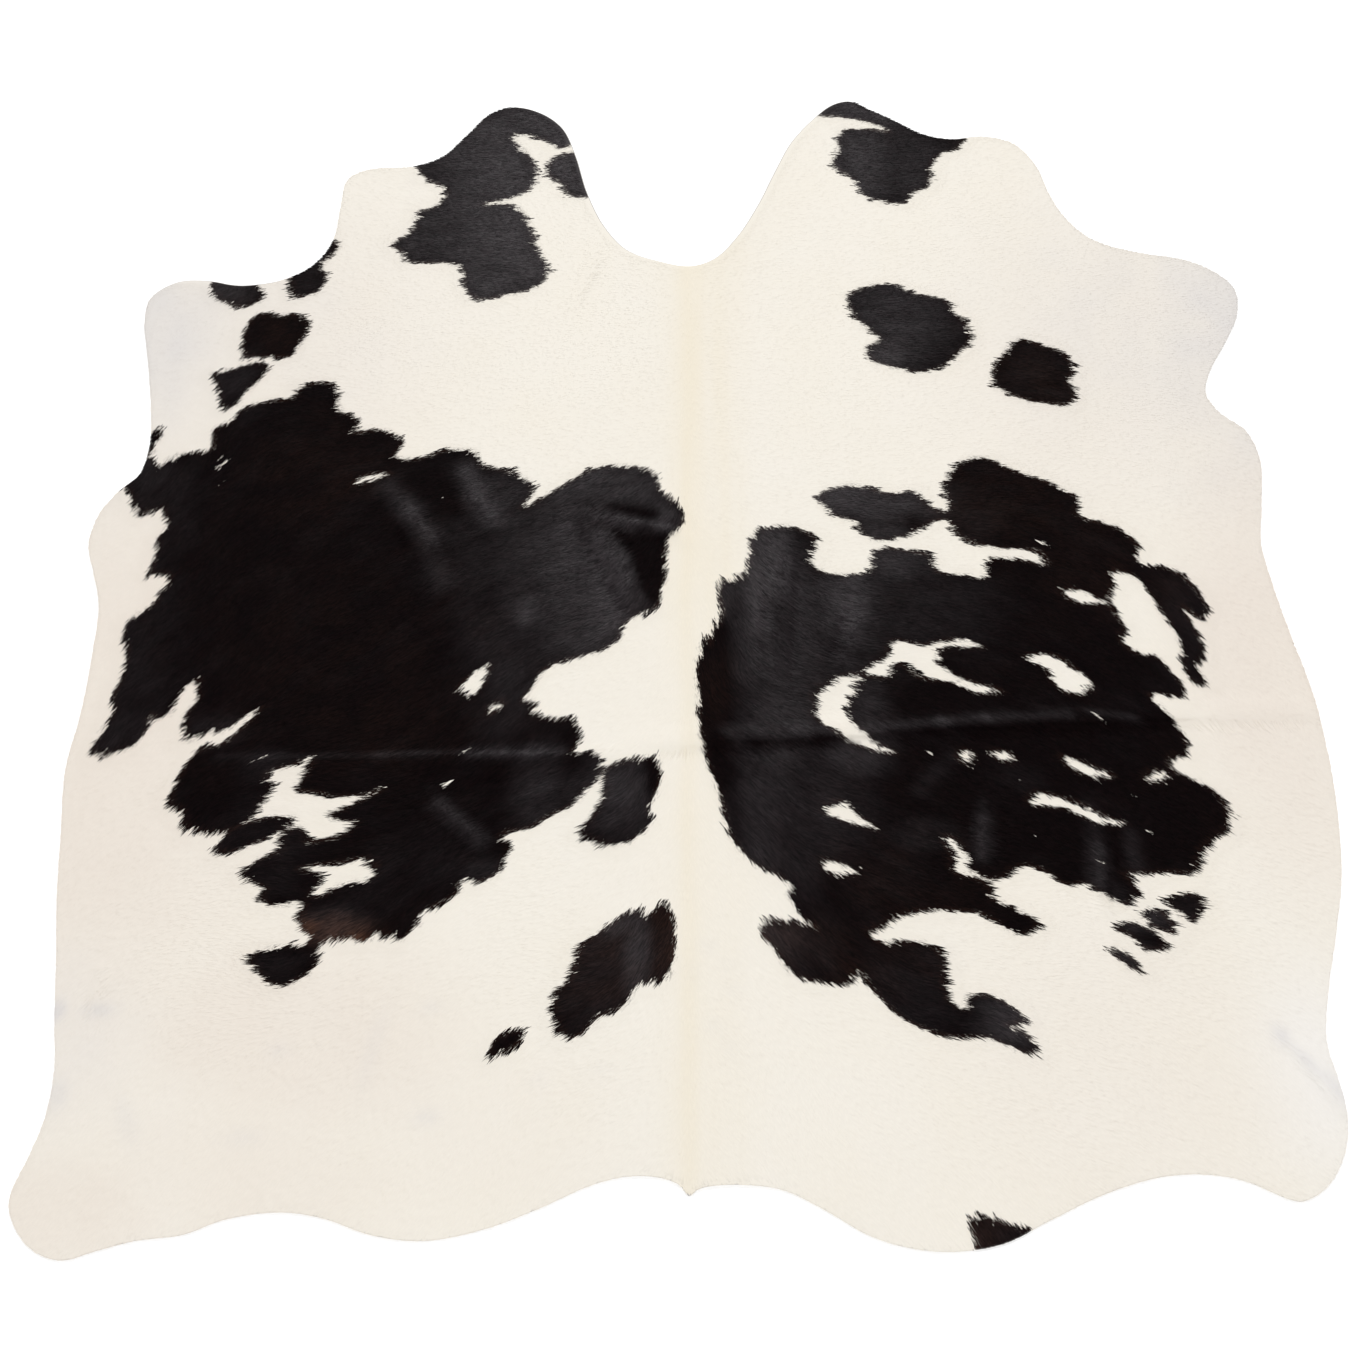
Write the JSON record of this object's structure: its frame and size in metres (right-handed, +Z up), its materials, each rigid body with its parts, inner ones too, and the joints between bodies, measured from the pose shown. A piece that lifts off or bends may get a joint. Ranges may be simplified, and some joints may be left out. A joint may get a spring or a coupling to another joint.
{
  "type": "cowhide rug",
  "caption": "Whole tanned cattle hide with cream hair and black patches, laid flat as a floor rug, with its neck flaps, leg stubs and folding creases.",
  "frame": {"origin": "on the floor under the middle of the hide's own box", "axes": "+Z up, away from the floor; +Y along the spine towards the neck; +X to the right as seen from above with the neck away"},
  "size_m": [1.8866, 2.104, 0.0098],
  "materials": {
    "hair_hide": "short glossy hair, cream with black patches, on tanned leather with a suede underside"
  },
  "bodies": {
    "root": {"hide": "hair_hide"}
  },
  "joints": []
}
